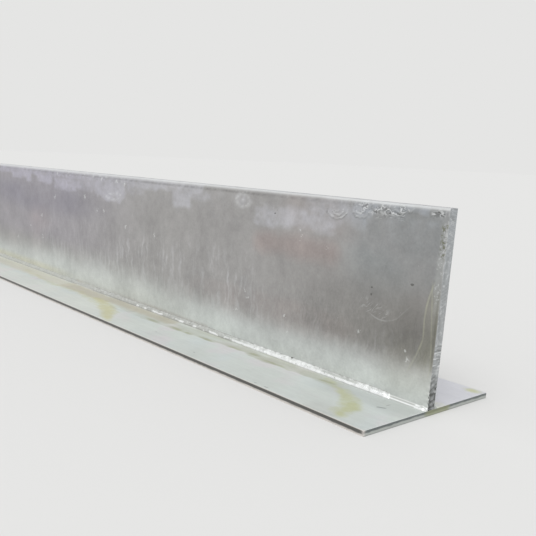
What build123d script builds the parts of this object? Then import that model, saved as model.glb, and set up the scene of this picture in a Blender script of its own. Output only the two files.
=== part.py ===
from build123d import *
import os

os.makedirs("parts", exist_ok=True)

# A T-beam made of two flat steel plates, a thick web standing on the middle of a thin flange,
# joined by a fillet weld along each side of the web's foot. Millimetres, X along the beam,
# Y across the flange, Z up. The origin is in the middle of the flange's underside.

# The two plates
beam_length = 3000
flange_width = 200
flange_thickness = 6
web_thickness = 12
web_depth = 200
half_length = beam_length / 2
web_face = web_thickness / 2

# The flange is sheared: the blade rolls the upper arris over and leaves the lower one nearly sharp
shear_roll = 1
shear_break = 0.4
flange_corner = 2

# The web is a flat bar with rolled, round arrises, sawn off at its ends
web_arris = 1.8
sawn_arris = 0.8

# A low bead is laid along the whole foot, and heavier runs of weld lie over it
root_leg = 4
root_crown = 0.3
run_leg = 6
run_crown = 0.9
run_length = 668
end_gap = 51
least_run_gap = 60
welded_span = beam_length - 2 * end_gap
runs_per_side = int((welded_span + least_run_gap) / (run_length + least_run_gap))
run_pitch = (welded_span - run_length) / max(runs_per_side - 1, 1)

# Where a run stops, its pool shrinks into a dished crater, and where one starts the metal heaps up
crater_radius = 5.4
crater_depth = 1.3
heap_radius = 4.3
heap_rise = 1.2

# A short tack holds the plates in line at each end of the beam, just short of the cut
tack_leg = 4.8
tack_crown = 0.7
tack_length = 2
tack_setback = 0.5


def bead_profile(leg, crown):
    """Return a fillet weld's section on the web's -Y side, its round face bulging by crown."""
    toe_on_flange = (-web_face - leg, flange_thickness)
    toe_on_web = (-web_face, flange_thickness + leg)
    slope = 0.5**0.5
    middle = (
        -web_face - leg / 2 - crown * slope,
        flange_thickness + leg / 2 + crown * slope,
    )
    with BuildSketch() as profile:
        with BuildLine():
            Polyline(toe_on_web, (-web_face, flange_thickness), toe_on_flange)
            ThreePointArc(toe_on_flange, middle, toe_on_web)
        make_face()
    return profile.sketch


def rounded_bead(leg, crown, length):
    """Return a bead centred on x = 0, with each end turned in to the web on a quarter circle."""
    with BuildPart() as bead:
        with BuildSketch(Plane.YZ.offset(-length / 2)):
            add(bead_profile(leg, crown))
        extrude(amount=length)
        for x, quarter_turn in ((-length / 2, -90), (length / 2, 90)):
            with BuildSketch(Plane.YZ.offset(x)):
                add(bead_profile(leg, crown))
            upright = Axis((x, -web_face, 0), (0, 0, 1))
            revolve(axis=upright, revolution_arc=quarter_turn)
    return bead.part


# Flange: a plate with rounded-over upper edges
with BuildPart() as flange_plate:
    with BuildSketch(Plane.XY) as flange_outline:
        Rectangle(beam_length, flange_width)
        fillet(flange_outline.vertices(), flange_corner)
    extrude(amount=flange_thickness)
    upper_rim = flange_plate.faces().sort_by(Axis.Z)[-1].edges()
    fillet(upper_rim, shear_roll)
    lower_rim = flange_plate.faces().sort_by(Axis.Z)[0].edges()
    chamfer(lower_rim, shear_break)

flange_plate.part.label = "flange_plate"
export_step(flange_plate.part, "parts/flange_plate.step")

# Web: a flat bar on edge, with its upper and end arrises eased and its foot left square
with BuildPart() as web_plate:
    with BuildSketch(Plane.YZ.offset(-half_length)) as web_section:
        with Locations((0, flange_thickness)):
            Rectangle(web_thickness, web_depth, align=(Align.CENTER, Align.MIN))
        fillet(web_section.vertices().group_by(Axis.Z)[-1], web_arris)
    extrude(amount=beam_length)
    ends_of_web = web_plate.faces().filter_by(Axis.X)
    end_arrises = ends_of_web.edges().filter_by(lambda arris: arris.center().Z > flange_thickness)
    chamfer(end_arrises, sawn_arris)

web_plate.part.label = "web_plate"
export_step(web_plate.part, "parts/web_plate.step")

# One heavy run, drawn at the middle of the beam: a long round-faced bead with a heap of metal
# where it starts and a dished crater where it stops
with BuildPart() as weld_run:
    add(rounded_bead(run_leg, run_crown, run_length))
    # The heap is a ball that stands a little out of the bead's face
    heap_reach = run_leg / 2 + (run_crown + heap_rise - heap_radius) * 0.5**0.5
    with Locations((-run_length / 2, -web_face - heap_reach, flange_thickness + heap_reach)):
        Sphere(heap_radius)
    # The crater is a ball's dent in the bead's face
    dent_reach = run_leg / 2 + (run_crown + crater_radius - crater_depth) * 0.5**0.5
    with Locations((run_length / 2, -web_face - dent_reach, flange_thickness + dent_reach)):
        Sphere(crater_radius, mode=Mode.SUBTRACT)

# Front weld: the low bead from end to end, a tack at each end and the heavy runs between them
with BuildPart() as front_fillet_weld:
    with BuildSketch(Plane.YZ.offset(-half_length)):
        add(bead_profile(root_leg, root_crown))
    extrude(amount=beam_length)
    tack_middle = half_length - tack_setback - tack_leg - tack_length / 2
    with Locations((-tack_middle, 0, 0), (tack_middle, 0, 0)):
        add(rounded_bead(tack_leg, tack_crown, tack_length))
    first_run_middle = -welded_span / 2 + run_length / 2
    for i in range(runs_per_side):
        with Locations((first_run_middle + i * run_pitch, 0, 0)):
            add(weld_run.part)
    # The balls of the heaps are trimmed to the plates
    split(bisect_by=Plane.XZ.offset(web_face), keep=Keep.TOP)
    split(bisect_by=Plane.XY.offset(flange_thickness), keep=Keep.TOP)

front_fillet_weld.part.label = "front_fillet_weld"
export_step(front_fillet_weld.part, "parts/front_fillet_weld.step")

# Back weld: the same weld laid from the other end, as the welder came back along the beam
with BuildPart() as back_fillet_weld:
    add(front_fillet_weld.part, rotation=(0, 0, 180))

back_fillet_weld.part.label = "back_fillet_weld"
export_step(back_fillet_weld.part, "parts/back_fillet_weld.step")
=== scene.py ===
import bpy
import numpy as np
from mathutils import Matrix, Vector


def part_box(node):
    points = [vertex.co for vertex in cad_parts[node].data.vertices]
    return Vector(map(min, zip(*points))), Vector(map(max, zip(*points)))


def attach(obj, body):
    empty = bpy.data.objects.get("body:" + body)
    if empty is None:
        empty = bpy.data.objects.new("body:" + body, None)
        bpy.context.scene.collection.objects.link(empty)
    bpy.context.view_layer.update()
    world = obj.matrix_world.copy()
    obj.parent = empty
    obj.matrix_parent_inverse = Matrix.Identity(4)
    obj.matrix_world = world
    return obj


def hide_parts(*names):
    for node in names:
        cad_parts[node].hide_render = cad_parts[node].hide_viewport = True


# A galvanised T-beam, a thick web welded upright on a thin flange, lying on a pale studio floor.
# Lengths in the dictionaries are millimetres, and "back" is the distance from the shown end.

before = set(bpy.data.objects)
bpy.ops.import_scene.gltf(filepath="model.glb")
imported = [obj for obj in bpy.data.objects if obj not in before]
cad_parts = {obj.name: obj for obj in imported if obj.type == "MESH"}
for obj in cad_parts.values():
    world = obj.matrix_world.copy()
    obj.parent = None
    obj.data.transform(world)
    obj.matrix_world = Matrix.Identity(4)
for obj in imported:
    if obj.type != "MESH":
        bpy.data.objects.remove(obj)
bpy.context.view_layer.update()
flangeLow, flangeHigh = [np.array(corner) * 1000 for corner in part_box("flange_plate")]
webLow, webHigh = [np.array(corner) * 1000 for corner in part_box("web_plate")]
shownEnd, flangeTop, webFace = flangeHigh[0], flangeHigh[2], webHigh[1]
beamLength = round(2 * shownEnd)
lineSpan = 24  # the width across a line over which its mark goes from 0 to 1
print("frame: beam", np.round(flangeHigh - flangeLow), "web", np.round(webHigh - webLow))

# Shared number work: soft steps, patches, lines and clouds, all on whole arrays


def rise(start, end, value):
    t = np.clip((value - start) / (end - start), 0, 1)  # 0 before start, 1 after end, smooth between
    return t * t * (3 - 2 * t)


def fall(start, end, value):
    return 1 - rise(start, end, value)  # 1 before start, 0 after end


def bell(value, middle, width):
    return np.exp(-((value - middle) / width) ** 2)  # exp of minus the squared distance in widths


def softPatch(u, v, patch):
    u0, u1, v0, v1, soft = patch  # 1 inside the rectangle, falling to 0 over the soft margin
    return (rise(u0 - soft, u0 + soft, u) * fall(u1 - soft, u1 + soft, u)
            * rise(v0 - soft, v0 + soft, v) * fall(v1 - soft, v1 + soft, v))


def band(v, low, high, soft):
    return softPatch(v, v, (low, high, low, high, soft))  # one way only, with its fall squared


def softBlob(u, v, blob):
    cu, cv, ru, rv = blob  # a bell both ways: its middle and its two radii
    return np.exp(-((u - cu) / ru) ** 2 - ((v - cv) / rv) ** 2)


def highest(values):
    return np.max(list(values), axis=0)  # the highest of several arrays, point by point


def toPieces(u, v, path):
    # For each straight piece of a path: where along it the nearest point lies, 0 to 1, and how far off
    for (u0, v0, *_), (u1, v1, *_) in zip(path[:-1], path[1:]):
        du, dv = u1 - u0, v1 - v0
        t = np.clip(((u - u0) * du + (v - v0) * dv) / (du * du + dv * dv), 0, 1)
        yield t, np.hypot(u - u0 - t * du, v - v0 - t * dv)


def alongLine(u, v, path, width):
    # A bell across the distance to a line of straight pieces
    return bell(np.min([away for t, away in toPieces(u, v, path)], axis=0), 0, width)


def alongStroke(u, v, path, soft):
    # 1 within a stroke whose half width changes from point to point, falling over the soft margin
    halves = [half for *_, half in path]
    depth = highest(h0 + (h1 - h0) * t - away
                    for (t, away), h0, h1 in zip(toPieces(u, v, path), halves[:-1], halves[1:]))
    return rise(-soft, soft, depth)


def signedLine(v, u, levels, places, side):
    # A half plus how far u is past a line, over its span, so that a shader finds the line at a half
    return np.where(side < 0, np.clip(0.5 + (u - np.interp(v, levels, places)) / lineSpan, 0, 1), 0)


def cloud(u, v, seed):
    table = np.random.default_rng(seed).random((64, 64))  # random heights on a grid, smoothly joined
    i, j = np.floor(u).astype(int), np.floor(v).astype(int)
    fu, fv = u - i, v - j
    fu, fv = fu * fu * (3 - 2 * fu), fv * fv * (3 - 2 * fv)
    i, j, i1, j1 = i % 64, j % 64, (i + 1) % 64, (j + 1) % 64
    low = table[i, j] * (1 - fu) + table[i1, j] * fu
    high = table[i, j1] * (1 - fu) + table[i1, j1] * fu
    return low * (1 - fv) + high * fv - 0.5


def spread(*stretches):
    # Levels along one axis: each stretch is (start, end, step), and shared ends appear once
    levels = [np.linspace(a, b, max(int(round(abs(b - a) / step)), 1) + 1) for a, b, step in stretches]
    return np.unique(np.round(np.concatenate(levels), 4))


def latticeSkin(xs, ys, zs):
    # The six gridded faces of a box, each shared point once, every face turned outwards
    count = (len(xs), len(ys), len(zs))

    def side(axis, atEnd):
        a, b = [k for k in range(3) if k != axis]
        cell = np.zeros((count[a], count[b], 3), int)
        cell[..., a], cell[..., b] = np.meshgrid(np.arange(count[a]), np.arange(count[b]), indexing="ij")
        cell[..., axis] = (count[axis] - 1) * atEnd
        flat = (cell[..., 0] * count[1] + cell[..., 1]) * count[2] + cell[..., 2]
        quads = np.stack([flat[:-1, :-1], flat[1:, :-1], flat[1:, 1:], flat[:-1, 1:]], -1).reshape(-1, 4)
        return quads if bool(atEnd) != (axis == 1) else quads[:, ::-1]

    quads = np.concatenate([side(axis, atEnd) for axis in range(3) for atEnd in (0, 1)])
    used, quads = np.unique(quads, return_inverse=True)
    i, rest = np.divmod(used, count[1] * count[2])
    j, k = np.divmod(rest, count[2])
    return np.stack([xs[i], ys[j], zs[k]], -1).astype(float), quads.reshape(-1, 4)


def roundCorner(a, b, flatA, flatB):
    # Past both flat parts, the distances beyond them are scaled by the larger over their hypotenuse,
    # so that the square corner falls on a quarter circle
    overA, overB = np.maximum(np.abs(a) - flatA, 0), np.maximum(np.abs(b) - flatB, 0)
    inCorner = (overA > 0) & (overB > 0)
    kept = np.maximum(overA, overB) / np.maximum(np.hypot(overA, overB), 1e-9)
    return (np.where(inCorner, np.sign(a) * (flatA + overA * kept), a),
            np.where(inCorner, np.sign(b) * (flatB + overB * kept), b))


def addObject(name, data):
    added = bpy.data.objects.new(name, data)
    bpy.context.scene.collection.objects.link(added)
    return added


def addPiece(name, points, quads, marks, node, material, caps=()):
    # Puts the arrays into a mesh, keeps each mark as an attribute, attaches the piece to the root body and
    # hides the node that it stands in for
    faces = quads.tolist() + [list(cap) for cap in caps]
    mesh = bpy.data.meshes.new(name)
    mesh.from_pydata((points * 0.001).tolist(), [], faces)
    smooth = np.ones(len(faces), bool)
    smooth[len(quads):] = False
    mesh.polygons.foreach_set("use_smooth", smooth)
    for markName, values in marks.items():
        attribute = mesh.attributes.new(markName, "FLOAT", "POINT")
        attribute.data.foreach_set("value", np.clip(values, 0, 1).astype(np.float32))
    mesh.materials.append(material)
    mesh.update()
    piece = addObject(name, mesh)
    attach(piece, "root")
    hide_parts(node)
    print("piece:", name, len(quads) * 2 + sum(len(cap) - 2 for cap in caps), "triangles")


# Shader groups: zinc mottle, hanging streaks and a stain wash


def addNode(tree, kind, inputs=None, **settings):
    # Adds a node, makes its settings and feeds its inputs, each from a socket, a number or a colour
    node = tree.nodes.new("ShaderNode" + kind)
    for name, value in settings.items():
        setattr(node, name, value)
    for label, value in (inputs or {}).items():
        socket = node.inputs[label]
        if isinstance(value, bpy.types.NodeSocket):
            tree.links.new(value, socket)
        elif value is not None:
            socket.default_value = (*value[:3], 1) if socket.type == "RGBA" else value
    return node.outputs


def mathNode(tree, kind, a, b=None, c=None, clamp=False):
    return addNode(tree, "Math", {0: a, 1: b, 2: c}, operation=kind, use_clamp=clamp)[0]


def noiseNode(tree, vector, scale, detail, roughness=0.5):
    inputs = {"Vector": vector, "Scale": scale, "Detail": detail, "Roughness": roughness}
    return addNode(tree, "TexNoise", inputs)["Fac"]


def rangeNode(tree, value, low, high):
    # 0 at low and 1 at high, smooth between; with low above high it falls
    inputs = {"Value": value, "From Min": low, "From Max": high}
    return addNode(tree, "MapRange", inputs, interpolation_type="SMOOTHSTEP")["Result"]


def blendNode(tree, factor, first, second, kind="MIX"):
    # The Mix node's colours are its inputs 6 and 7 and its output 2
    return addNode(tree, "Mix", {0: factor, 6: first, 7: second}, data_type="RGBA", blend_type=kind)[2]


def linear(red, green, blue):
    # A colour written as 0 to 255, as the linear light values that sockets take
    shares = [channel / 255 for channel in (red, green, blue)]
    return tuple(s / 12.92 if s <= 0.04045 else ((s + 0.055) / 1.055) ** 2.4 for s in shares)


def newGroup(name, inputs, outputs):
    # Every group also takes a Vector, which is the place on the surface
    group = bpy.data.node_groups.new(name, "ShaderNodeTree")
    for label, kind, value in (("Vector", "Vector", (0, 0, 0)), *inputs):
        socket = group.interface.new_socket(label, in_out="INPUT", socket_type="NodeSocket" + kind)
        socket.default_value = value
    for label, kind in outputs:
        group.interface.new_socket(label, in_out="OUTPUT", socket_type="NodeSocket" + kind)
    return group, group.nodes.new("NodeGroupInput").outputs, group.nodes.new("NodeGroupOutput").inputs


def makeMottleGroup():
    # Cloudy zinc: three sizes of noise added up, and the two finer ones for the height
    group, into, out = newGroup("zincMottle", (("Cloud Scale", "Float", 14.0), ("Strength", "Float", 0.1)),
                                (("Tone", "Float"), ("Height", "Float")))
    middleShare, fineShare = 0.6, 0.35
    broad, middle, fine = [
        noiseNode(group, into["Vector"], mathNode(group, "MULTIPLY", into["Cloud Scale"], finer), detail)
        for finer, detail in ((1.0, 2.0), (6.0, 3.0), (24.0, 2.0))]
    total = mathNode(group, "MULTIPLY_ADD", middle, middleShare, broad)
    total = mathNode(group, "MULTIPLY_ADD", fine, fineShare, total)
    centred = mathNode(group, "SUBTRACT", total, (1 + middleShare + fineShare) / 2)
    group.links.new(mathNode(group, "MULTIPLY_ADD", centred, into["Strength"], 1.0), out["Tone"])
    group.links.new(mathNode(group, "MULTIPLY_ADD", fine, 0.4, middle), out["Height"])
    return group


def makeStreakGroup():
    # Marks left by zinc and water running down: noise stretched along the height. Strokes are the
    # sparse sharp tops of it, and Streak is the soft whole.
    group, into, out = newGroup("hangingStreaks", (("Fineness", "Float", 90.0), ("Length", "Float", 0.08)),
                                (("Streak", "Float"), ("Strokes", "Float")))
    x, y, z = addNode(group, "SeparateXYZ", {0: into["Vector"]})
    sway = mathNode(group, "SUBTRACT", noiseNode(group, into["Vector"], 70.0, 1.0), 0.5)
    place = addNode(group, "CombineXYZ", {"X": mathNode(group, "MULTIPLY_ADD", sway, 0.012, x), "Y": y,
                                          "Z": mathNode(group, "MULTIPLY", z, into["Length"])})[0]
    streak = noiseNode(group, place, into["Fineness"], 2.0, 0.6)
    group.links.new(rangeNode(group, streak, 0.3, 0.7), out["Streak"])
    group.links.new(rangeNode(group, streak, 0.5, 0.72), out["Strokes"])
    return group


def makeStainGroup():
    # A wash whose painted mask is broken up by noise, so that its edge wanders
    group, into, out = newGroup(
        "stainWash",
        (("Color", "Color", (1, 1, 1, 1)), ("Stain Color", "Color", (1, 1, 1, 1)), ("Mask", "Float", 0.0),
         ("Grain Scale", "Float", 60.0), ("Amount", "Float", 0.7), ("Raggedness", "Float", 0.9)),
        (("Color", "Color"), ("Mask", "Float")))
    grain = mathNode(group, "SUBTRACT", noiseNode(group, into["Vector"], into["Grain Scale"], 4.0, 0.6), 0.5)
    ragged = mathNode(group, "MULTIPLY_ADD", grain, into["Raggedness"], into["Mask"])
    held = mathNode(group, "MULTIPLY", rangeNode(group, ragged, 0.0, 1.0),
                    rangeNode(group, into["Mask"], 0.0, 0.35))
    held = mathNode(group, "MULTIPLY", held, into["Amount"], clamp=True)
    group.links.new(blendNode(group, held, into["Color"], into["Stain Color"]), out["Color"])
    group.links.new(held, out["Mask"])
    return group


mottleGroup, streakGroup, stainGroup = makeMottleGroup(), makeStreakGroup(), makeStainGroup()
print("shader groups made")


def newMaterial(name, roughness):
    material = bpy.data.materials.new(name)
    material.use_nodes = True
    shader = material.node_tree.nodes["Principled BSDF"]
    shader.inputs["Roughness"].default_value = roughness
    return material, shader


class Finish:
    # One material under way: its tree, its shader, the Object coordinates and the colour so far.
    # Its colours are named as in the piece's dictionary, and a mask is a socket or a mark's name.
    def __init__(self, name, values, color):
        self.values = values
        self.material, self.shader = newMaterial(name, values["roughness"])
        self.shader.inputs["Metallic"].default_value = values["metallic"]
        self.tree = self.material.node_tree
        self.place = addNode(self.tree, "TexCoord")["Object"]
        self.color = self.tone(color)

    def tone(self, color):
        return linear(*self.values[color]) if isinstance(color, str) else color

    def mark(self, mask):
        named = isinstance(mask, str)
        return addNode(self.tree, "Attribute", attribute_name=mask)["Fac"] if named else mask

    def group(self, nodeGroup, **values):
        inputs = {label.replace("_", " "): value for label, value in values.items()}
        return addNode(self.tree, "Group", {"Vector": self.place, **inputs}, node_tree=nodeGroup)

    def stretched(self, scale, turn=0.0):
        inputs = {"Vector": self.place, "Scale": scale, "Rotation": (0, np.radians(turn), 0)}
        return addNode(self.tree, "Mapping", inputs)[0]

    def noise(self, scale, detail, roughness=0.5, stretch=None):
        vector = self.stretched(stretch) if stretch else self.place
        return noiseNode(self.tree, vector, scale, detail, roughness)

    def ranged(self, mask, low, high):
        return rangeNode(self.tree, self.mark(mask), low, high)

    def times(self, mask, amount):
        return mathNode(self.tree, "MULTIPLY", self.mark(mask), self.mark(amount), clamp=True)

    def plus(self, value, amount, rest):
        return mathNode(self.tree, "MULTIPLY_ADD", self.mark(value), amount, rest)

    def swing(self, noise, mask=1.0):
        # A noise that stands around a half, made to swing around 0 where the mask is
        return mathNode(self.tree, "MULTIPLY", mathNode(self.tree, "SUBTRACT", noise, 0.5), self.mark(mask))

    def paint(self, *coats):
        # Lays colours over the one so far. Each coat is a mask, the amount, the colour and, where
        # the mask has to stay within one, a mark.
        for mask, amount, color, *within in coats:
            for name in within:
                mask = self.times(mask, name)
            self.color = blendNode(self.tree, self.times(mask, amount), self.color, self.tone(color))

    def glaze(self, mask, amount, shares):
        # Lets through only these shares of red, green and blue light, where the mask is
        held = self.times(mask, amount)
        self.color = blendNode(self.tree, held, self.color, self.values[shares], "MULTIPLY")

    def wash(self, mask, amount, color, grain, ragged=0.9):
        out = self.group(stainGroup, Color=self.color, Stain_Color=self.tone(color), Mask=self.mark(mask),
                         Grain_Scale=grain, Amount=amount, Raggedness=ragged)
        self.color = out["Color"]
        return out["Mask"]

    def between(self, mask, first, second):
        # The first colour where the mask is 0, the second where it is 1
        return blendNode(self.tree, self.mark(mask), self.tone(first), self.tone(second))

    def tint(self, tone):
        # Lightens and darkens the colour so far
        self.color = addNode(self.tree, "VectorMath", {0: self.color, "Scale": tone}, operation="SCALE")[0]

    def away(self, value, level):
        return mathNode(self.tree, "ABSOLUTE", mathNode(self.tree, "SUBTRACT", self.mark(value), level))

    def line(self, name, width):
        # 1 within about a width, in millimetres, of where a signed line mark is a half
        return self.ranged(self.away(name, 0.5), 1.3 * width / lineSpan, 0.3 * width / lineSpan)

    def bump(self, height, strength, distance, normal=None):
        inputs = {"Height": height, "Strength": strength, "Distance": distance, "Normal": normal}
        return addNode(self.tree, "Bump", inputs)[0]

    def done(self, normal, rough=None):
        for label, value in (("Base Color", self.color), ("Normal", normal), ("Roughness", rough)):
            if value is not None:
                self.tree.links.new(value, self.shader.inputs[label])
        return self.material


# The web: a thick flat bar on edge, with coat runs at its top corner and a rough sawn end

web = {
    "topRound": 1.8, "endBreak": 0.8, "sawPitch": 3.3, "sawHeight": 0.22, "tearPitch": 6.5, "nickLength": 5,
    "roughness": 0.42, "metallic": 0.3,
    "grey": (162, 160, 159), "endGrey": (127, 125, 121), "bloom": (192, 192, 198), "warm": (162, 141, 136),
    "footReflection": (207, 211, 209), "strokePale": (190, 189, 191), "runPale": (186, 187, 164),
    # the pale of the flecks also serves as the painted highlight on the arrises
    "paleFleckAndHighlight": (226, 228, 228), "dark": (76, 76, 72), "olive": (112, 114, 92), "sawn": (178, 182, 185),
    "sawnLow": (172, 175, 176), "torn": (96, 98, 95), "edgeDark": (96, 96, 84), "oliveBand": (137, 137, 123),
    "top": (162, 163, 166), "footBrown": (172, 162, 152), "beforeRun": (96, 93, 88), "dusk": (138, 137, 146),
    "footYellow": (208, 207, 188), "endBand": (178, 180, 178),
    # shares of red, green and blue that the cool and the lavender parts of the coat give back
    "coolShares": (0.9, 0.97, 1.0), "lavenderShares": (0.945, 0.922, 1.0),
    # how high the pale foot, a painted reflection of the flange, reaches, and over what height it fades, as
    # distances from the shown end
    "footBack": (0, 160, 260, 380, 480, 540, 600, 720, 790, 900, 960, 1030, 1140),
    "footHigh": (36, 36, 36, 38, 38, 42, 44, 44, 42, 47, 38, 42, 36),
    "footFade": (54, 55, 57, 62, 70, 84, 92, 92, 84, 74, 84, 76, 66),
    # pale coat clouds: from and to along the beam, from and to in height, softness, strength
    "clouds": ((984, 1086, 182, 197, 4, 0.95), (982, 1014, 176, 190, 4, 0.9), (891, 956, 179, 196, 4, 0.95),
               (705, 870, 174, 193, 6, 0.7), (785, 884, 171, 192, 5, 0.9), (705, 780, 174, 190, 6, 0.5),
               (616, 712, 170, 214, 6, 0.95), (630, 690, 164, 180, 5, 0.9), (470, 760, 188, 214, 10, 0.3),
               (378, 478, 184, 196, 8, 0.7), (428, 476, 171, 194, 6, 0.85), (556, 620, 178, 196, 8, 0.6),
               (216, 286, 163, 187, 6, 0.75), (140, 274, 166, 190, 10, 0.75), (92, 200, 177, 204, 20, 0.85),
               (0, 130, 178, 208, 16, 0.3), (22, 112, 197, 208, 1.5, 0.6), (395, 4000, 190, 215, 5, 0.85)),
    # crusty zinc under the top arris, as the clouds
    "crust": ((52, 112, 191, 204, 4, 1.0), (4, 20, 196, 203, 2, 0.8), (112, 1250, 198, 204, 3, 0.3),
              (600, 1000, 194, 204, 4, 0.5)),
    # single soft rectangles, as the clouds but with no strength
    "patches": {
        "runHere": (-9, 30, 42, 132, 8), "scratchHere": (62, 86, 78, 112, 6),
        "scratchEnds": (36, 84, 78, 112, 8), "brushed": (-30, 250, 46, 100, 18),
        "beforeRun": (20, 46, 60, 118, 11), "speckle": (-8, 7, 158, 191, 1.5),
        "cool": (-60, 125, 122, 240, 30), "dusk": (0, 4000, 128, 176, 18),
        "warm": (138, 285, 132, 157, 16), "footBrown": (380, 800, 0, 14, 3),
        "yellowFoot": (700, 1400, 0, 21, 6), "yellowEnd": (-40, 62, 10, 60, 22),
        "streaky": (270, 960, 54, 118, 32), "streakiest": (430, 640, 76, 112, 20),
        "streakyEnd": (-40, 330, 44, 72, 14)},
    "farTop": (1130, 4000, 178, 215, 9),  # where random clouds stand, further back
    # a ring in the coat: its middle along the beam and in height, stretch, radius and width of its rim
    "ring": (311, 190.5, 1.75, 7.8, 1.9),
    # scalloped lower edges of runs: middle along the beam, half width, lowest and highest height
    "scallops": ((145, 15, 184, 193), (145, 9, 187.5, 194), (146, 4, 190.5, 195), (111, 12, 188, 196),
                 (112, 6, 191.5, 197), (89, 7, 196, 201), (74, 8, 192.5, 200), (59, 6, 197, 201.5),
                 (46, 4, 199, 202)),
    # two pale runs down beside the end, as heights and their distances from the end, and one long
    # scratch, as distances and their heights
    "firstRun": ((34, 40, 49, 60, 71, 78, 97, 110, 120, 130, 144),
                 (34, 30, 26, 21, 17, 15, 16, 15, 13, 10, 5)),
    "secondRun": ((38, 50, 67, 95, 114, 134), (5, 3, 4, 7, 9, 11)),
    "scratch": ((33, 43, 50, 56, 65, 74, 80, 90), (108, 98, 91, 88, 85.5, 85.5, 87, 91)),
    "scratches": ((97, 99), (68, 92)), "scratchTurn": -48,  # a scuffed line, and the way its scratches slant
    # pale curls in the coat, as points and a width
    "curls": ((((684, 173), (668, 168), (652, 167), (638, 170), (628, 176)), 2.2),
              (((672, 178), (655, 174), (640, 178)), 2.0)),
    # how strong the dark line under the top arris is, along the beam
    "darkLine": ((150, 330, 500, 900), (0.35, 1, 1, 0.6)),
    "flecks": ((251, 185), (245, 180), (863, 198), (721, 200), (690, 197), (615, 193), (640, 196), (201, 164),
               (204, 133), (158, 151), (203, 153), (199, 158), (296, 69), (302, 78), (318, 50), (222, 59),
               (216, 41), (101, 66), (36, 61), (32, 51), (879, 156), (754, 165), (710, 144), (685, 146),
               (943, 76), (1070, 60), (525, 123), (612, 128), (1002, 91), (944, 116)),
    # dark dots, and lumps with their height: middle along the beam and in height, half sizes, strength
    "dots": ((12, 201.5, 1.7, 1.3, 1.0), (35, 128.5, 3.2, 1.5, 1.0), (87, 117.5, 2.0, 1.9, 0.85),
             (87, 110, 1.9, 2.1, 0.85), (248, 180, 3.6, 1.3, 0.85), (243, 184, 3.0, 1.2, 0.85)),
    "lumps": ((66, 199, 6, 2.2, 0.5), (78, 197, 5, 3.0, 0.4), (89, 199, 5, 2.0, 0.4), (105, 194, 6, 3.0, 0.3),
              (22, 199, 5, 3.0, 0.7), (31, 197, 6, 3.5, 0.6), (42, 199, 5, 2.5, 0.5),
              (12, 202.5, 1.5, 1.3, 1.1), (4, 200, 3, 3.5, 0.8)),
}


def scallopEdges(u, v):
    # Each run ends below in half an ellipse: its rim is a bell across the height to that curve, with
    # a darker one under it
    parts = []
    for middle, half, low, high in web["scallops"]:
        t = (u - middle) / half
        above = v - (high - (high - low) * np.sqrt(np.clip(1 - t * t, 0, 1)))
        within = np.abs(t) < 1.05
        parts.append((within * bell(above, 0.3, 0.9), within * bell(above, -1.3, 0.8),
                      (np.abs(t) < 1) * rise(-0.6, 0.6, above)))
    return highest(parts)


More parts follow.
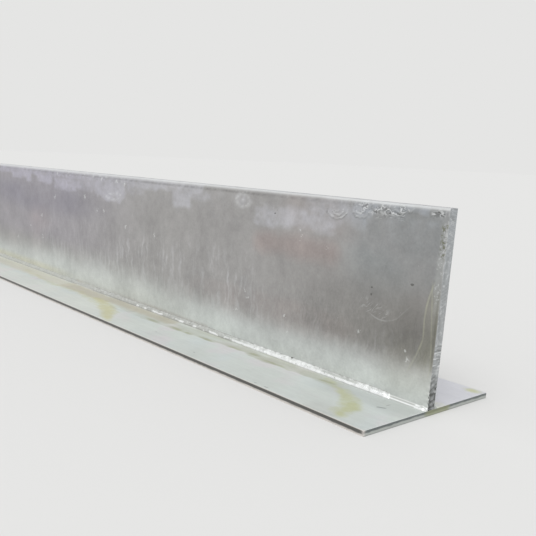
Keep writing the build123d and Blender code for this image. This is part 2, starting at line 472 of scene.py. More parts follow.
def buildWebSkin(material):
    # A gridded box over the web: arrises rounded, then each face moved by its own relief
    r, e = web["topRound"], web["endBreak"]
    low, high = webLow, webHigh
    flatHalf, flatTop, farEnd = high[1] - r, high[2] - r, beamLength - 10
    back = spread((0, e, e / 2), (e, 56, 1.0), (56, 160, 1.6), (160, 420, 3.5), (420, 900, 5.2),
                  (900, 1300, 9), (1300, farEnd, 50), (farEnd, beamLength - e, 3),
                  (beamLength - e, beamLength, e / 2))
    ys = spread((low[1], low[1] + r, r / 3), (low[1] + r, flatHalf, 1.4), (flatHalf, high[1], r / 3))
    zs = spread((low[2], 56, 1.45), (56, 104, 3.4), (104, 134, 1.7), (134, 160, 3.4), (160, flatTop, 1.3),
                (flatTop, high[2], r / 4))
    points, quads = latticeSkin(np.sort(shownEnd - back), ys, zs)
    x, y, z = points.T.copy()
    back = shownEnd - x
    fromEnd = np.minimum(back, beamLength - back)
    onEnd = fromEnd < 1e-6
    face = np.where(np.isclose(y, low[1]), -1.0, np.where(np.isclose(y, high[1]), 1.0, 0.0))
    onTop = np.isclose(z, high[2])
    mark = np.where(y > 0.1, beamLength - back, back)  # the back face is marked from its own end

    def drift(along, up, seed):
        return cloud(mark / along, z / up, seed)

    # the top arrises are rolled round, and close to the sawn end the section shrinks a little
    y, z = roundCorner(y, z, flatHalf, flatTop)
    ease = 0.7 * np.maximum(e - fromEnd, 0)
    y = np.sign(y) * np.minimum(np.abs(y), high[1] - ease)
    z = np.minimum(z, high[2] - ease)

    # coat relief on the two faces: slow swells, runs and drops of zinc under the top corner
    calm = rise(12, 40, z) * rise(0.5, 8, fromEnd)
    swell = (0.3 * cloud(back / 170, z / 90, 3) + 0.12 * cloud(back / 45, z / 60, 4)) * calm
    rim, under, inside = scallopEdges(mark + 2.4 * drift(4, 3, 71), z + 1.6 * drift(3, 3, 72))
    height = sum((tall * softBlob(mark, z, blob) for *blob, tall in web["lumps"]),
                 swell + 0.35 * inside + 0.4 * rim)
    crust = sum(strength * softPatch(mark, z, patch) for *patch, strength in web["crust"])
    grit = drift(2.9, 2.3, 5) + 0.6 * drift(1.6, 1.5, 7)
    height = height + 0.45 * crust * (grit + 0.4) * (z < flatTop)
    y = y + face * np.where(z > flatTop, 0.25 * height, height)
    z = np.where(onTop, z - 0.3 * (0.5 + cloud(back / 14, y / 6, 6)) * rise(0, 2, fromEnd), z)
    z = np.minimum(z, high[2])

    # the end is rough: slanted saw ridges, and torn pits over its lowest part, all cut inwards
    torn = fall(26, 50, z + 16 * cloud(y / 5, z / 8, 8))
    nearTop = rise(185, 204, z)
    saw = (z + 0.35 * y) * 2 * np.pi / web["sawPitch"] + 2 * cloud(y / 6, z / 14, 9)
    ridge = web["sawHeight"] * (1 + np.sin(saw))
    pits = np.clip(cloud(y / 2.6 + 7, z / 3.4, 10) * 2.6 + 0.35, 0, 1)
    tear = np.sin(z * 2 * np.pi / web["tearPitch"] + 5 * cloud(y / 4, z / 9, 11))
    teeth = np.clip(tear * 1.4 - y / 8 - 0.1, 0, 1)
    cutDepth = 0.1 + ridge * (1 - 0.6 * torn) + torn * (0.4 + 1.2 * pits + 0.9 * teeth) + 0.5 * nearTop * pits
    border = rise(0, 1.6, np.minimum(high[1] - np.abs(y), high[2] - z))
    inward = np.where(onEnd, cutDepth * (0.25 + 0.75 * border), 0)
    nick = torn * teeth * (1 - fromEnd / web["nickLength"]) * 1.1
    x = x - np.sign(x) * inward
    y = y - face * np.where((fromEnd < web["nickLength"]) & ~onEnd & (face != 0), nick, 0)

    # marks that the material reads; the clouds' outlines wander, and beyond the photo they are random
    patches = {name: softPatch(mark, z, patch) for name, patch in web["patches"].items()}
    wideU = mark + 10 * drift(26, 14, 51) + 3 * drift(9, 6, 52)
    wideV = z + 5 * drift(21, 11, 53) + 2 * drift(6, 5, 54)
    farTop = softPatch(wideU, wideV, web["farTop"]) * rise(-0.1, 0.25, drift(95, 70, 12))
    ringBack, ringHigh, stretch, radius, rimWidth = web["ring"]
    away = np.hypot((mark - ringBack) / stretch, z - ringHigh)
    bloom = highest([strength * softPatch(wideU, wideV, patch) for *patch, strength in web["clouds"]]
                    + [0.6 * farTop, 0.5 * softBlob(mark, z, (ringBack, ringHigh, 22, 13)),
                       0.22 * rise(120, 190, z)])
    broken = rise(-0.15, 0.25, drift(3.2, 2.4, 58))
    curls = highest(alongLine(mark, z, path, width) for path, width in web["curls"])
    specks = highest((1 - 0.34 * (cb < 330 and cz > 100))
                     * softBlob(mark, z, (cb, cz, 2.8 + cb / 350, 3 + max(cb - 400, 0) / 300))
                     for cb, cz in web["flecks"])
    # painted highlight: bright lines along the top arrises, wider further back, and broken ones down the
    # end's upper edges
    topEdgeHighlight = np.where(onTop, 0.8 * bell(np.abs(y), 5.4, 0.8),
                       bell(z - high[2], -1.5, 1.5 + 1.1 * rise(300, 900, mark)))
    endEdgeHighlight = 0.5 * bell(fromEnd, 0, 1.0) * rise(135, 150, z) * rise(-0.3, 0.3, cloud(z / 4, y, 60))
    footHigh = np.interp(mark, web["footBack"], web["footHigh"]) + 6 * drift(60, 400, 15)
    footFade = np.interp(mark, web["footBack"], web["footFade"])
    endShade = fall(0, 380, mark) ** 1.5 * rise(38, 64, z) * (1 - 0.8 * rise(68, 165, z))
    besideEnd = rise(-1.5, 2.5, np.interp(z, *web["firstRun"]) - mark) * band(z, 46, 128, 9)
    streaky = patches["streaky"] * (0.8 + 0.3 * patches["streakiest"] - 0.3 * rise(620, 720, mark)
                                    + drift(60, 30, 76))
    farStreaks = rise(1100, 1400, mark) * band(z, 54, 128, 32) * rise(-0.35, 0.35, drift(150, 90, 82))
    marks = {
        "firstRun": signedLine(z, mark, *web["firstRun"], face),
        "secondRun": signedLine(z, mark, *web["secondRun"], face),
        "scratch": signedLine(mark, z, *web["scratch"], face),
        "runHere": patches["runHere"] * (0.7 + 0.8 * cloud(z / 7, 0, 77)),
        "scratchHere": np.maximum(patches["scratchHere"], 0.45 * patches["scratchEnds"]),
        "cool": patches["cool"],
        "lavender": rise(480, 900, mark) * rise(50, 90, z) * (1 - 0.8 * rise(1120, 1500, mark)),
        "dusk": rise(560, 930, mark) * patches["dusk"] * (0.8 + 0.8 * drift(90, 40, 74)),
        "footBrown": patches["footBrown"] * (0.6 + drift(40, 9, 75)),
        # the pale foot: a painted reflection of the flange on the web's lower part
        "foot": fall(-0.43, 0.57, (z - footHigh) / footFade),
        "footYellow": np.maximum(patches["yellowFoot"] * rise(760, 960, mark), 0.2 * patches["yellowEnd"]),
        "streaky": streaky + 0.04 + 0.2 * patches["streakyEnd"] + 0.8 * farStreaks,
        "cutLow": fall(110, 190, z), "top": 1.0 * onTop,
    }
    offEnd = {
        "bloom": bloom * (0.85 + 0.6 * drift(7, 5, 55)), "endShade": endShade,
        "warm": np.maximum(patches["warm"], 0.35 * rise(0, 0.3, drift(190, 60, 14))),
        "dots": highest(strength * softBlob(mark, z, blob) for *blob, strength in web["dots"]),
        "fleck": highest((0.85 * rim * (0.35 + 0.65 * broken), 0.7 * crust * rise(0.2, 0.5, grit),
                          0.6 * curls * broken)),
        "spots": highest((0.6 * under * (0.4 + 0.6 * broken), 0.5 * crust * rise(0.25, 0.5, -grit))),
        "arrisHighlight": np.maximum(topEdgeHighlight, endEdgeHighlight),
    }
    onFaces = {
        "belowArris": bell(z, 199.9, 1.3) * (0.35 + 0.65 * broken) * np.interp(mark, *web["darkLine"]),
        "edgeLine": bell(fromEnd, 2.2, 1.3) * band(z, 46, 130, 10),
    }
    onShown = {
        "besideEnd": besideEnd * (0.7 + 0.6 * drift(2.5, 30, 73)),
        "endBand": fall(5, 10, mark + 3 * cloud(z / 9, mark / 6, 78)) * band(z, 104, 196, 14),
        "crust": crust * (mark < 130) * ~onEnd * rise(-0.15, 0.2, drift(8, 3.2, 83)),
        "ring": 0.8 * (bell(away, radius, rimWidth) + bell(away, 0, 2.0)) * (0.55 + 0.9 * broken),
        "brushed": patches["brushed"], "beforeRun": patches["beforeRun"], "speckle": patches["speckle"],
        "specks": specks, "scratches": alongLine(mark, z, web["scratches"], 6.5),
    }
    onCut = {
        "cut": 1.0, "stripes": band(z, 46, 76, 6), "ridge": 0.5 + 2.2 * (ridge - web["sawHeight"]),
        "torn": torn * (0.25 + 0.5 * pits + 0.6 * teeth) + 0.3 * rise(0.2, 0.5, pits * nearTop),
    }
    for where, held in ((~onEnd, offEnd), (face != 0, onFaces), (face < 0, onShown), (onEnd, onCut)):
        marks.update({name: values * where for name, values in held.items()})
    addPiece("webPlateSkin", np.stack([x, y, z], -1), quads, marks, "web_plate", material)


def makeWebFinish():
    finish = Finish("webZinc", web, "grey")
    mottle = finish.group(mottleGroup, Cloud_Scale=16.0, Strength=0.48)
    streak = finish.group(streakGroup, Fineness=130.0, Length=0.22)
    thin = finish.group(streakGroup, Fineness=260.0, Length=0.2)
    finish.paint(("endShade", 1.0, "endGrey"))
    finish.wash("warm", 0.4, "warm", 16.0)
    # the pale foot is a painted reflection of the flange, broken up by the streaks
    foot = finish.plus(finish.swing(streak["Streak"], "streaky"), 0.4, finish.mark("foot"))
    finish.paint(("beforeRun", 0.2, "beforeRun"), (finish.ranged(foot, 0.0, 1.0), 1.0, "footReflection"),
                 ("footYellow", 0.7, "footYellow"), ("footBrown", 0.5, "footBrown"), ("dusk", 0.6, "dusk"))
    bloomed = finish.wash("bloom", 0.75, "bloom", 70.0, 0.6)
    finish.paint(("ring", 0.4, "paleFleckAndHighlight"))
    finish.glaze("cool", 0.9, "coolShares")
    finish.glaze("lavender", 1.0, "lavenderShares")
    finish.paint(("besideEnd", 0.5, "oliveBand"), ("endBand", 0.4, "endBand"),
                 (streak["Strokes"], 0.5, "strokePale", "streaky"),
                 (thin["Strokes"], 0.3, "strokePale", "streaky"))
    brushes = finish.group(streakGroup, Fineness=420.0, Length=0.3)
    finish.tint(finish.plus(finish.swing(brushes["Streak"], "brushed"), 0.13, mottle["Tone"]))

    # thin lines, scratches, dots and the crust, which wrinkles dark, pale and dark again
    turned = finish.stretched((1, 1, 1), web["scratchTurn"])
    scratches = finish.group(streakGroup, Vector=turned, Fineness=520.0, Length=0.14)["Strokes"]
    wrinkle = finish.noise(240.0, 1.0, stretch=(0.6, 1, 1))
    creases = [(finish.ranged(finish.away(wrinkle, level), 0.05, 0.02), amount, color, "crust")
               for level, amount, color in ((0.39, 0.45, "dark"), (0.5, 0.8, "paleFleckAndHighlight"),
                                            (0.61, 0.45, "dark"))]
    crumbs = finish.plus("specks", 0.5, finish.noise(420.0, 1.0))
    dots = finish.noise(420.0, 2.0, 0.6)
    finish.paint(
        ("edgeLine", 0.38, "edgeDark"), ("belowArris", 0.4, "dark"),
        (finish.line("firstRun", 1.2), 0.44, "runPale", "runHere"),
        (finish.line("secondRun", 1.0), 0.3, "runPale", "runHere"),
        (finish.line("scratch", 1.0), 0.16, "paleFleckAndHighlight", "scratchHere"),
        (scratches, 0.5, "paleFleckAndHighlight", "scratches"),
        ("spots", 0.8, "dark"), (finish.ranged("dots", 0.42, 0.62), 0.7, "dark"),
        ("fleck", 0.72, "paleFleckAndHighlight"), *creases, (finish.ranged(crumbs, 0.78, 0.9), 0.48, "paleFleckAndHighlight"),
        (finish.ranged(dots, 0.5, 0.57), 0.8, "olive", "speckle"),
        (finish.ranged(dots, 0.42, 0.36), 0.35, "paleFleckAndHighlight", "endBand"))

    # the sawn end, and the top edge with a painted highlight on its arrises
    cutTone = finish.between("torn", finish.between("cutLow", "sawn", "sawnLow"), "torn")
    grains = finish.noise(190.0, 3.0, 0.65)
    stripes = finish.noise(330.0, 1.0, stretch=(1, 0.12, 1))
    finish.paint(
        ("cut", 1.0, cutTone), ("ridge", 0.3, "torn"),
        (finish.ranged(grains, 0.48, 0.68), 0.4, "paleFleckAndHighlight", "cut"),
        (finish.ranged(stripes, 0.52, 0.64), 0.7, "paleFleckAndHighlight", "stripes"),
        (finish.ranged(stripes, 0.48, 0.36), 0.5, "torn", "stripes"),
        ("top", 1.0, "top"), ("arrisHighlight", 0.76, "paleFleckAndHighlight"))
    rough = finish.plus("cut", 0.15, finish.plus(bloomed, 0.15, web["roughness"]))
    grain = finish.bump(mottle["Height"], 0.25, 0.0006)
    return finish.done(finish.bump(finish.noise(900.0, 2.0), 0.15, 0.0002, grain), rough)


buildWebSkin(makeWebFinish())

# The flange: a thin sheared plate, with faint yellow-green stains beside the weld

flange = {
    "cornerRound": 2.0, "topRoll": 1.0, "bottomBreak": 0.4, "shearHollow": 0.6,
    "levels": (0, 0.2, 0.4, 1.0, 1.8, 2.6, 3.0, 3.5, 4.3, 5.0, 5.25, 5.5, 5.75, 6.0),  # the grid's rows
    "roughness": 0.42, "metallic": 0.25,
    "pale": (207, 213, 209), "blue": (201, 212, 218), "pink": (214, 209, 212), "shade": (201, 202, 208),
    "nearWeld": (177, 179, 165), "stain": (186, 189, 148), "laterStain": (194, 192, 153),
    "farBeige": (199, 195, 179), "footShade": (182, 187, 184), "outerSheen": (221, 224, 216),
    "nearTip": (195, 198, 194), "beige": (182, 175, 157), "tide": (162, 164, 138),
    # the shear and end colours are painted shade and light for the flange's edges
    "greenStain": (146, 149, 116), "fleck": (112, 114, 116), "shearShade": (88, 88, 84),
    "shearHighlight": (212, 207, 202), "endFaceShade": (106, 112, 112), "endFaceLit": (172, 176, 172),
    # a painted highlight for the rims of the top
    "arrisHighlight": (232, 234, 234),
    # strokes of stain: points along the beam and across it with half widths, then a strength
    "stainStrokes": ((((131, -18, 1), (111, -26, 3), (92, -33, 5), (72, -44, 9), (58, -55, 11), (52, -66, 11),
                       (50, -76, 10), (41, -87, 6)), 0.86),
                     (((655, -38, 7), (620, -45, 10), (585, -55, 12), (552, -68, 12), (528, -86, 8),
                       (505, -96, 4)), 0.85),
                     (((986, -29, 5), (810, -48, 6), (713, -38, 9), (647, -50, 10), (612, -56, 8)), 0.44)),
    "farBlob": (13, 92, 11, 6.5),  # a stain on the ledge behind: its middle and half sizes
    # soft rectangles: from and to along the beam, from and to across it, softness
    "beigeBand": (620, 800, -42, -12, 9), "beigeNear": (440, 700, -34, -10, 9),
    "farBand": (780, 1500, -44, -12, 12), "tipPatch": (42, 84, -110, -76, 10),
    # darker bits of the wash's edge: places along the beam and across it, half sizes
    "tideBits": ((215, -30, 26, 3), (255, -25, 9, 3), (342, -34, 17, 3), (412, -37, 20, 4), (385, -37, 10, 4),
                 (475, -39, 20, 4), (291, -28, 12, 2.5), (126, -25, 14, 3)),
    # outer edge of the wash beside the weld, as distance from the end and place across the flange
    "tideBack": (40, 61, 80, 98, 116, 133, 159, 188, 206, 222, 239, 268, 299, 319, 343, 375, 413, 453, 486,
                 540, 620),
    "tideAcross": (-38, -39, -36, -35, -31, -31, -32, -32, -33, -36, -35, -29, -31, -30, -35, -38, -41, -43,
                   -46, -43, -36),
    # how strong the wash beside the weld is, along the beam
    "washShare": ((120, 230, 340, 440), (1.2, 1.15, 0.9, 0.6)),
    # a thin curved line in the coat, as places along the beam and across it
    "ringLine": ((598, -43), (575, -48), (558, -47), (540, -43), (539, -32), (556, -18)),
    # scuffs as points, a width and a strength, and flecks as places and half sizes
    "scuffs": ((((37, -39.5), (30, -35.5)), 1.7, 1.0), (((34.5, -29), (33, -21)), 1.3, 0.72),
               (((46, -25), (45, -17)), 1.2, 0.6)),
    "flecks": ((146, -95, 4.5, 1.2), (164, -95, 2.5, 1.0), (412, -70, 1.6, 1.2), (300, -84, 2.0, 1.0)),
}


def buildFlangeSkin(material):
    # A gridded box over the flange: rolled upper rim, hollow sheared edge, faintly uneven top
    low, high = flangeLow, flangeHigh
    halfX, halfY = high[0], high[1]
    roll, r, edge, farEnd = flange["topRoll"], flange["cornerRound"], 1, beamLength - 10
    back = spread((0, edge, 0.25), (edge, 100, 2.2), (100, 420, 4), (420, 900, 6), (900, 1300, 9),
                  (1300, farEnd, 45), (farEnd, beamLength - edge, 3), (beamLength - edge, beamLength, 0.25))
    ys = spread((low[1], low[1] + edge, 0.25), (low[1] + edge, -10, 1.9), (-10, 10, 5),
                (10, high[1] - edge, 2.4), (high[1] - edge, high[1], 0.25))
    points, quads = latticeSkin(np.sort(shownEnd - back), ys, np.array(flange["levels"]))
    x, y, z = points.T.copy()
    fromSide, fromEnd = halfY - np.abs(y), halfX - np.abs(x)
    fromRim, alongX = np.minimum(fromEnd, fromSide), fromEnd < fromSide
    onTop, onRim = np.isclose(z, high[2]), fromRim < 1e-6

    # the plan's corners are round. The rim's top rolls over a quarter circle, its foot is broken, and
    # the shear leaves a hollow.
    x, y = roundCorner(x, y, halfX - r, halfY - r)
    nearRim = np.maximum(roll - fromRim, 0)
    z, kept = roundCorner(z, nearRim, high[2] - roll, 0)
    inset = nearRim - kept
    hollowShade = flange["shearHollow"] * np.interp(z, (0.4, 3.1, 5.0), (0, 1, 0))
    wander = 0.2 * (0.5 + cloud(x / 17, y / 13, 21))
    inset = inset + onRim * (hollowShade + wander + np.maximum(flange["bottomBreak"] - z, 0))
    x = np.where(alongX, x - np.sign(x) * inset, x)
    y = np.where(~alongX, y - np.sign(y) * inset, y)

    # top face: slow swells that only sink
    back = shownEnd - x
    clear = rise(1.5, 10, fromRim) * rise(14, 26, np.abs(y))
    z = z - onTop * clear * 0.25 * (0.5 + cloud(back / 140, y / 50, 22))

    # the ledge behind the web is marked from its own end, apart from one stain near the shown end
    mark = np.where(y > 0, beamLength - back, back)
    side = -np.abs(y)

    def drift(along, across, seed):
        return cloud(mark / along, y / across, seed)

    wideU = mark + 7 * drift(15, 9, 61) + 3 * drift(6, 5, 59)
    wideV = side + 4 * drift(13, 8, 62) + 2 * drift(5, 4, 57)
    faded = 1.0 + 0.5 * drift(11, 8, 68) + 0.3 * drift(4, 4, 69)
    later = rise(1300, 1500, mark) * rise(0.08, 0.38, drift(130, 24, 24))
    stain = highest([strength * faded * alongStroke(wideU, wideV, path, 10.0)
                     for path, strength in flange["stainStrokes"]]
                    + [softBlob(back + 5 * cloud(back / 8, y / 5, 63), y, flange["farBlob"]), 0.45 * later])
    tideLine = np.interp(mark, flange["tideBack"], flange["tideAcross"]) + 3 * cloud(mark / 9, 0, 64)
    inReach = rise(90, 135, mark) * fall(560, 700, mark)
    wash = inReach * rise(-1.5, 1.5, side - tideLine)
    tide = 0.5 * inReach * bell(side, tideLine, 2.4) * (0.5 + 1.0 * drift(31, 20, 65))
    bitU, bitV = mark + 6 * drift(7, 5, 79), side + 2 * drift(9, 4, 80)
    flecks = ([softBlob(mark, y, fleck) for fleck in flange["flecks"]]
              + [strength * alongLine(mark, y, path, width) for path, width, strength in flange["scuffs"]])
    endFace = onRim & alongX
    # painted light and shade on the edges: the sheared sides are shaded from about 2 mm up to just under the
    # rolled rim and highlighted below, the ends shaded above about 3 mm and lit below, with a ragged line
    # between
    rag = 0.6 * cloud(back / 11, y / 9, 66) + 0.9 * cloud(back / 4, y / 4, 84)
    sideUpper = rise(1.5, 2.3, z + 0.4 * rag) * fall(5.2, 6.0, z)
    marks = {
        # a painted highlight on the flange's near corner
        "laterStain": rise(300, 420, back), "tipHighlight": softBlob(back, y, (0, -100, 2.2, 2.2)),
        "upper": np.where(endFace, rise(2.7, 3.6, z + rag), sideUpper),
        "shearBand": (fromRim < 0.6) * ~alongX * 1.0,
        "endBand": 1.0 * endFace, "endStain": endFace * softPatch(y, z, (-9, 32, -1, 7, 5)),
    }
    topMarks = {
        "stain": stain, "tide": highest([tide] + [softBlob(bitU, bitV, bit) for bit in flange["tideBits"]]),
        "nearWeld": wash * (0.85 + 0.9 * drift(22, 6, 56)) * np.interp(mark, *flange["washShare"]),
        # painted shade on the flange beside the web's foot, near the shown end
        "footShade": rise(-56, -26, side) * fall(100, 150, mark),
        # a painted sheen: the flange's outer part, away from the web, lighter from about 500 to 1350 mm back
        "outerSheen": fall(-66, -46, side) * rise(400, 620, mark) * fall(1200, 1500, mark),
        "nearTip": softPatch(mark, side, flange["tipPatch"]),
        "farBand": softPatch(mark, wideV, flange["farBand"]),
        "beige": np.maximum(softPatch(mark, wideV, flange["beigeBand"]),
                            0.85 * softPatch(mark, wideV, flange["beigeNear"])),
        "ringLine": alongLine(mark, y, flange["ringLine"], 1.5), "flecks": highest(flecks),
        "shade": rise(6, 20, y),
        # painted highlight along the rims of the top, stronger along the ends
        "arrisHighlight": (bell(fromRim, 0, 1.1) * (0.4 + cloud(back / 9, y / 9, 67)) * (fromRim > 0.1)
                  * (0.35 + 0.65 * alongX)),
    }
    marks.update({name: values * onTop for name, values in topMarks.items()})
    addPiece("flangePlateSkin", np.stack([x, y, z], -1), quads, marks, "flange_plate",
             material)


def makeFlangeFinish():
    finish = Finish("flangeZinc", flange, "pale")
    mottle = finish.group(mottleGroup, Cloud_Scale=12.0, Strength=0.16)
    finish.paint((finish.ranged(finish.noise(11.0, 3.0), 0.45, 0.68), 0.32, "blue"),
                 (finish.ranged(finish.noise(17.0, 2.0), 0.5, 0.68), 0.6, "pink"),
                 ("shade", 1.0, "shade"), ("footShade", 0.75, "footShade"), ("outerSheen", 0.5, "outerSheen"),
                 ("nearTip", 0.55, "nearTip"), ("nearWeld", 0.8, "nearWeld"))
    finish.wash("beige", 0.8, "beige", 40.0, 0.5)
    finish.wash("farBand", 0.7, "farBeige", 40.0, 0.5)
    stained = finish.wash("stain", 0.85, finish.between("laterStain", "stain", "laterStain"), 110.0, 0.75)
    finish.wash("tide", 0.9, "tide", 90.0, 0.7)
    rolled = finish.swing(finish.noise(150.0, 2.0, 0.6, (0.12, 1, 1)))
    finish.tint(finish.plus(rolled, 0.16, mottle["Tone"]))
    # painted shade and highlight on the sheared sides, painted shade and light on the ends, split by the
    # upper mark
    finish.paint(("shearBand", 1.0, finish.between("upper", "shearHighlight", "shearShade")),
                 ("endBand", 1.0, finish.between("upper", "endFaceLit", "endFaceShade")))
    finish.wash("endStain", 0.8, "greenStain", 90.0)
    # the flecks and the ring line are the coat's own; the tip and the arris are painted highlights
    finish.paint((finish.ranged("flecks", 0.4, 0.65), 0.6, "fleck"), ("ringLine", 0.2, "fleck"),
                 ("tipHighlight", 0.9, "shearHighlight"), ("arrisHighlight", 0.6, "arrisHighlight"))
    rough = finish.plus(stained, 0.2, flange["roughness"])
    grain = finish.bump(mottle["Height"], 0.2, 0.0005)
    return finish.done(finish.bump(finish.noise(800.0, 2.0), 0.12, 0.0002, grain), rough)


buildFlangeSkin(makeFlangeFinish())

# The fillet welds: a low bead end to end, heavy rippled runs over it, and a tack at each end

weld = {
    "rootLeg": 4.0, "rootCrown": 0.3, "runLeg": 6.05, "runCrown": 0.8, "tackLeg": 4.8, "tackCrown": 0.7,
    "runs": 4, "endGap": 51, "runLength": 668, "tackSetback": 0.5, "tackLength": 2,
    "ripplePitch": 2.6, "rippleHeight": 0.42, "rootRippleHeight": 0.1, "acrossPoints": 12,
    # dish at a run's stop and heap at its start: size, angle up the face, half length, half angle
    "crater": (1.3, 0.8, 4.0, 0.5), "heap": (0.9, 0.8, 3.5, 0.45),
    "sink": 0.2,  # the bead's feet lie this far under the plates' faces
    "roughness": 0.34, "metallic": 0.3,
    "dull": (188, 191, 187), "bright": (246, 248, 248), "hollowShade": (128, 130, 128), "runTint": (208, 204, 182),
    "brown": (166, 160, 153), "toeShade": (100, 96, 89), "pit": (92, 90, 84),
    # how white the crust is along the first run, and how scarce its dashes are further on
    "whiteShare": ((50, 90, 100, 145, 156, 280, 310), (1, 0.95, 0.1, 0.1, 0.9, 0.8, 0)),
    "dashScarce": ((300, 450, 640), (-0.14, 0.04, 0.16)),
    # one pinhole: distance from the end, place up the face from 0 to 1, half length, half width
    "pinhole": (203, 0.97, 2.2, 0.25),
    # stations along each weld: from, to, step
    "frontSteps": ((0, 130, 0.45), (130, 830, 0.55), (830, beamLength, 0.95)),
    "backSteps": ((0, 130, 0.45), (130, beamLength, 0.85)),
}


def beadReach(angle, past, leg, crown):
    # Distance from the foot's corner to a bead's face, at an angle up from the flange. Beyond the
    # bead's end by past, the face is a cone turned about the web, so the reach closes to nothing.
    past = np.clip(past, 0, leg)
    climb = leg * np.sin(angle)
    inside = np.maximum(climb ** 2 + np.cos(2 * angle) * (leg ** 2 - past ** 2), 0)
    reach = (leg ** 2 - past ** 2) / np.maximum(climb + np.sqrt(inside), 1e-6)
    return reach + crown * np.sin(2 * angle) ** 2 * np.sqrt(1 - (past / leg) ** 2) * (reach > 0)


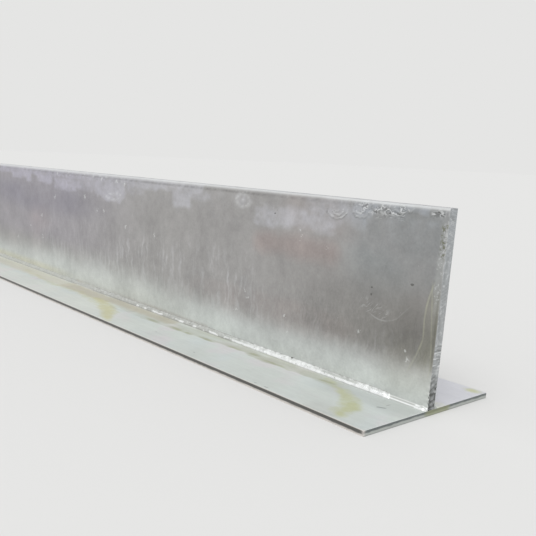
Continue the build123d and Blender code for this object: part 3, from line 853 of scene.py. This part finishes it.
def buildWeldSkin(name, node, side, steps, seed, material):
    # A bead profile carried along the beam: at each station the face stands off the corner by the
    # highest bead there, and ripples like stacked coins bow back along the run
    stations = spread(*steps)
    along, turn = np.meshgrid(stations, np.linspace(0, np.pi / 2, weld["acrossPoints"]), indexing="ij")
    lay = along if side < 0 else beamLength - along  # distance from the end the weld is marked from
    up01 = turn / (np.pi / 2)
    gap = weld["endGap"]
    pitch = (beamLength - 2 * gap - weld["runLength"]) / (weld["runs"] - 1)
    reach = beadReach(turn, 0, weld["rootLeg"] + 0.5 * cloud(lay / 38, 1.5, seed), weld["rootCrown"])
    tackMiddle = weld["tackSetback"] + weld["tackLeg"] + weld["tackLength"] / 2
    for middle in (tackMiddle, beamLength - tackMiddle):
        past = np.abs(lay - middle) - weld["tackLength"] / 2
        tack = beadReach(turn, past, weld["tackLeg"], weld["tackCrown"]) * (past < weld["tackLeg"])
        reach = np.maximum(reach, tack)
    ripple = cloud(lay / 1.9, turn * 1.2, seed + 1) * weld["rootRippleHeight"] * 2
    leg = weld["runLeg"] + 0.5 * cloud(lay / 19, 3.5, seed + 2)
    bow = 1.1 * (up01 * 2 - 1) ** 2
    step = lay - bow * weld["ripplePitch"] + 1.6 * cloud(lay / 9, turn * 0.6, seed + 3)
    step = step / weld["ripplePitch"]
    coin = (step % 1) ** 0.7 - 0.55
    strength = weld["rippleHeight"] * np.sin(2 * turn) ** 0.5 * (1 + 1.2 * cloud(lay / 14, 0, seed + 4))
    runRipple = coin * strength + 0.5 * cloud(lay / 3.1, turn * 2.2, seed + 5)
    onRun = 0
    for k in range(weld["runs"]):
        start, stop = gap + k * pitch + weld["runLength"], gap + k * pitch  # laid towards the marked end
        past = np.maximum(lay - start, stop - lay)
        bead = beadReach(turn, past, leg, weld["runCrown"]) * (past < leg)
        crater, heap = [size * softBlob(lay, turn, (end, *bulge))
                        for end, (size, *bulge) in ((stop, weld["crater"]), (start, weld["heap"]))]
        bead = bead - crater * (bead > 0) + heap * (bead > 0)
        over = rise(-1.0, 0.6, bead - reach)
        ripple = ripple * (1 - over) + over * runRipple
        onRun = np.maximum(onRun, over)
        reach = np.maximum(reach, bead)
    reach = reach + ripple * np.sin(2 * turn) ** 0.4 * (reach > 0.5)

    # each ring is the face's points and then the corner that they stand off from
    cornerY, cornerZ = webFace - weld["sink"], flangeTop - weld["sink"]
    face = np.stack([shownEnd - along, side * (cornerY + reach * np.cos(turn)),
                     cornerZ + reach * np.sin(turn)], -1)
    corner = np.stack([shownEnd - stations, np.full(len(stations), side * cornerY),
                       np.full(len(stations), cornerZ)], -1)[:, None, :]
    rings = np.concatenate([face, corner], 1)
    n, m = rings.shape[:2]
    index = np.arange(n * m).reshape(n, m)
    nextAround = np.roll(index, -1, 1)
    quads = np.stack([index[:-1], index[1:], nextAround[1:], nextAround[:-1]], -1).reshape(-1, 4)
    quads = quads[:, ::-1] if side < 0 else quads
    caps = [ring.tolist() if last == (side < 0) else ring.tolist()[::-1]
            for ring, last in ((index[0], False), (index[-1], True))]

    # White on the runs, partly the zinc's own white and partly painted highlight: near the run's end it
    # covers the whole face, then a lower ridge with a thin line above it, then the whole face again, and at
    # last only dashes. Further on the face is dull.
    patchy = rise(-0.35, 0.2, cloud(lay / 5, up01 * 3, seed + 7))
    ridge = rise(0.02, 0.1, up01) * fall(0.36, 0.5, up01)
    whole = rise(0.02, 0.1, up01) * fall(0.8, 0.98, up01 + 0.3 * cloud(lay / 4, 0, seed + 8))
    whiteAndHighlight = highest((ridge * (0.85 + 0.15 * patchy), 0.8 * bell(up01, 0.86, 0.08) * patchy,
                     np.interp(lay, *weld["whiteShare"]) * whole * (0.55 + 0.45 * patchy)))
    scarce = np.interp(lay, *weld["dashScarce"])
    dashes = ridge * rise(0.03, 0.12, cloud(lay / 8, up01 * 1.5, seed + 9) - scarce)
    later = rise(-0.2, 0.3, cloud(lay / 160, 0, seed + 6)) * (lay > 1250)
    nearby, far = fall(290, 330, lay), rise(560, 760, lay)
    tackHere = rise(-2, 1, 8 - np.abs(lay - tackMiddle))
    rootShine = np.maximum(bell(up01, 0.28, 0.15), 0.6 * bell(up01, 0.88, 0.1))
    marks = {
        # bright is white zinc with painted highlight on the runs, the root bead's shine lines near the end,
        # the first run's blunt end and the tack
        "bright": highest((onRun * whiteAndHighlight * np.maximum(nearby, 0.7 * later),
                           onRun * 0.78 * dashes * (lay < 660), (1 - onRun) * rootShine * (lay < 60),
                           softBlob(lay, up01, (gap + 1, 0.4, 5.0, 0.5)), tackHere * (lay < 20) * patchy)),
        # painted shade in the creases along both toes, lighter near the marked end and further on
        "toeShade": (bell(up01, 0, 0.09) * (1 - 0.6 * nearby - 0.3 * far)
                + 0.6 * bell(up01, 1, 0.07) * (1 - 0.75 * far)),
        # painted shade in the runs' ripple valleys; on the root bead, a darker line down its middle
        "valleyShade": np.where(onRun > 0.5, np.clip(0.4 - ripple / weld["rippleHeight"], 0, 1),
                           0.8 * bell(up01, 0.5, 0.14)),
        "run": onRun, "pinhole": (side < 0) * softBlob(lay, up01, weld["pinhole"]),
        "sparkle": onRun * (0.25 + 0.75 * later) * (1 - nearby) * (lay < 720) + onRun * later,
        "brown": softPatch(lay, 0, (350, 800, -1, 1, 40)),
        "tint": 0.95 * softPatch(lay, 0, (800, 1250, -1, 1, 60)),
    }
    marks = {label: np.pad(values, ((0, 0), (0, 1))).ravel() for label, values in marks.items()}
    addPiece(name, rings.reshape(-1, 3), quads, marks, node, material, caps)


def makeWeldFinish():
    finish = Finish("weldZinc", weld, "dull")
    mottle = finish.group(mottleGroup, Cloud_Scale=40.0, Strength=0.2)
    finish.paint(("brown", 0.75, "brown"))
    finish.wash("tint", 0.8, "runTint", 50.0)
    finish.tint(mottle["Tone"])
    sparkle = finish.ranged(finish.noise(190.0, 2.0, 0.6), 0.52, 0.6)
    pits = finish.ranged(finish.noise(330.0, 2.0, 0.6), 0.6, 0.7)
    finish.paint(("bright", 1.0, "bright"), (sparkle, 0.8, "bright", "sparkle"), ("valleyShade", 0.3, "hollowShade"),
                 (pits, 0.36, "pit", "run"), ("toeShade", 0.75, "toeShade"),
                 (finish.ranged("pinhole", 0.35, 0.6), 0.9, "pit"))
    return finish.done(finish.bump(mottle["Height"], 0.4, 0.0006))


weldFinish = makeWeldFinish()
buildWeldSkin("frontWeldSkin", "front_fillet_weld", -1, weld["frontSteps"], 31, weldFinish)
buildWeldSkin("backWeldSkin", "back_fillet_weld", 1, weld["backSteps"], 41, weldFinish)

# The studio: a plain pale floor, a broad soft sun overhead, a pale world and the camera

studio = {
    "floor": (215, 215, 214), "floorReach": 40.0, "backdrop": (229, 229, 228), "worldLight": 0.62,
    "sunStrength": 2.0, "sunSpread": 50, "sunFrom": (0.35, -0.45, 1.0),
    # the camera: its place in metres from the shown end, its lens and shift, and the way it looks
    "cameraPlace": (0.38893, -0.55579, 0.24244), "lens": 46.41, "sensor": 36, "shiftUp": 0.16604,
    "right": (0.64257, 0.76490, 0.04506), "down": (0.23933, -0.14449, -0.96013),
    "forward": (-0.72789, 0.62774, -0.27591),
}


def makeFloor():
    mesh = bpy.data.meshes.new("studioFloor")
    reach = studio["floorReach"]
    corners = [(-reach, -reach, 0), (reach, -reach, 0), (reach, reach, 0), (-reach, reach, 0)]
    mesh.from_pydata(corners, [], [(0, 1, 2, 3)])
    material, shader = newMaterial("floorPaper", 0.9)
    shader.inputs["Base Color"].default_value = (*linear(*studio["floor"]), 1)
    shader.inputs["Specular IOR Level"].default_value = 0.0
    mesh.materials.append(material)
    floor = addObject("studioFloor", mesh)


def makeWorld():
    # Seen by the camera, or in a reflection, the world is the pale backdrop; as light it is white
    world = bpy.data.worlds.new("paleRoom")
    world.use_nodes = True
    tree = world.node_tree
    light = tree.nodes["Background"]
    light.inputs["Color"].default_value = (1, 1, 1, 1)
    light.inputs["Strength"].default_value = studio["worldLight"]
    shown = addNode(tree, "Background", {"Color": linear(*studio["backdrop"]), "Strength": 1.0})[0]
    path = addNode(tree, "LightPath")
    seen = mathNode(tree, "MAXIMUM", path["Is Camera Ray"], path["Is Glossy Ray"])
    seen = mathNode(tree, "MAXIMUM", seen, path["Is Transmission Ray"])
    mixed = addNode(tree, "MixShader", {"Fac": seen, 1: light.outputs[0], 2: shown})[0]
    tree.links.new(mixed, tree.nodes["World Output"].inputs["Surface"])
    bpy.context.scene.world = world


def makeSun():
    sun = bpy.data.lights.new("softSun", "SUN")
    sun.energy = studio["sunStrength"]
    sun.angle = np.radians(studio["sunSpread"])
    turn = Vector(studio["sunFrom"]).to_track_quat("Z", "Y")
    addObject("softSun", sun).rotation_euler = turn.to_euler()


def makeCamera():
    camera = bpy.data.cameras.new("standingView")
    camera.sensor_width = studio["sensor"]
    camera.lens = studio["lens"]
    camera.shift_y = studio["shiftUp"]
    camera.clip_start, camera.clip_end = 0.01, 200
    cameraObject = addObject("standingView", camera)
    right, down, forward = [Vector(studio[key]).normalized() for key in ("right", "down", "forward")]
    turn = Matrix((right, -down, -forward)).transposed().to_4x4()
    x, y, z = studio["cameraPlace"]
    cameraObject.matrix_world = Matrix.Translation((shownEnd / 1000 + x, y, z)) @ turn
    bpy.context.scene.camera = cameraObject


makeFloor()
makeWorld()
makeSun()
makeCamera()
bpy.context.scene.view_settings.view_transform = "Standard"
print("studio ready")
